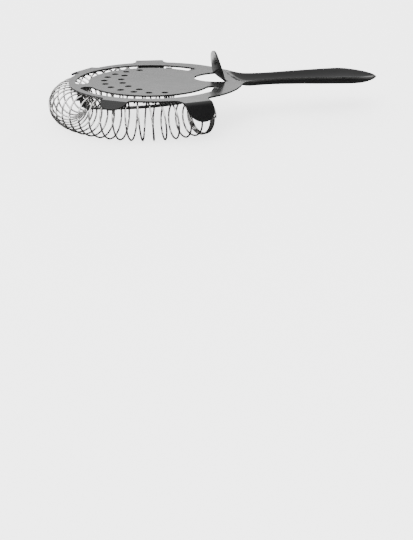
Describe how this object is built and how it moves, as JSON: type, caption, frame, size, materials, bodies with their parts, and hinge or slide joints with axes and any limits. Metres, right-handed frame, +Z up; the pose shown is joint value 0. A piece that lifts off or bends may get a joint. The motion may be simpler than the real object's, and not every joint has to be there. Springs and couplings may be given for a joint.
{
  "type": "hawthorne strainer",
  "caption": "Bar strainer: a round perforated steel plate with arc slots, finger tab, rim prongs and troughed handle, edged underneath by a coil spring.",
  "frame": {"origin": "centre of the round rim on the plate's underside, the face that rests on a tin's lip", "axes": "+X out along the handle, +Y to the left of the handle seen from above, +Z up out of the tin"},
  "size_m": [0.1768, 0.1066, 0.0353],
  "materials": {
    "black_plate": "thin satin-gloss black coating over pressed stainless sheet",
    "spring_wire": "bright drawn stainless spring wire"
  },
  "bodies": {
    "root": {"strainer_disc": "black_plate", "rim_ring": "black_plate", "shoulder": "black_plate", "handle": "black_plate", "finger_tab": "black_plate", "near_rim_prong": "black_plate", "far_rim_prong": "black_plate", "near_rim_lug": "black_plate", "far_rim_lug": "black_plate", "near_spring_tongue": "black_plate", "far_spring_tongue": "black_plate", "spring_near_end": "spring_wire", "spring_far_end": "spring_wire", "spring_near_corner": "spring_wire", "spring_far_corner": "spring_wire"},
    "spring_front": {"spring_front_bow": "spring_wire"},
    "spring_near": {"spring_near_side": "spring_wire"},
    "spring_far": {"spring_far_side": "spring_wire"}
  },
  "joints": [
    {"name": "front_squeeze", "type": "slide", "parent": "root", "child": "spring_front", "axis": [1, 0, 0], "range_m": [0, 0.004], "stiffness_N_per_m": 150},
    {"name": "near_side_squeeze", "type": "slide", "parent": "root", "child": "spring_near", "axis": [0, 1, 0], "range_m": [0, 0.0025], "stiffness_N_per_m": 150},
    {"name": "far_side_squeeze", "type": "slide", "parent": "root", "child": "spring_far", "axis": [0, -1, 0], "range_m": [0, 0.0025], "stiffness_N_per_m": 150}
  ],
  "couplings": [
    {"joint": "far_side_squeeze", "follows": "near_side_squeeze", "ratio": 1}
  ]
}
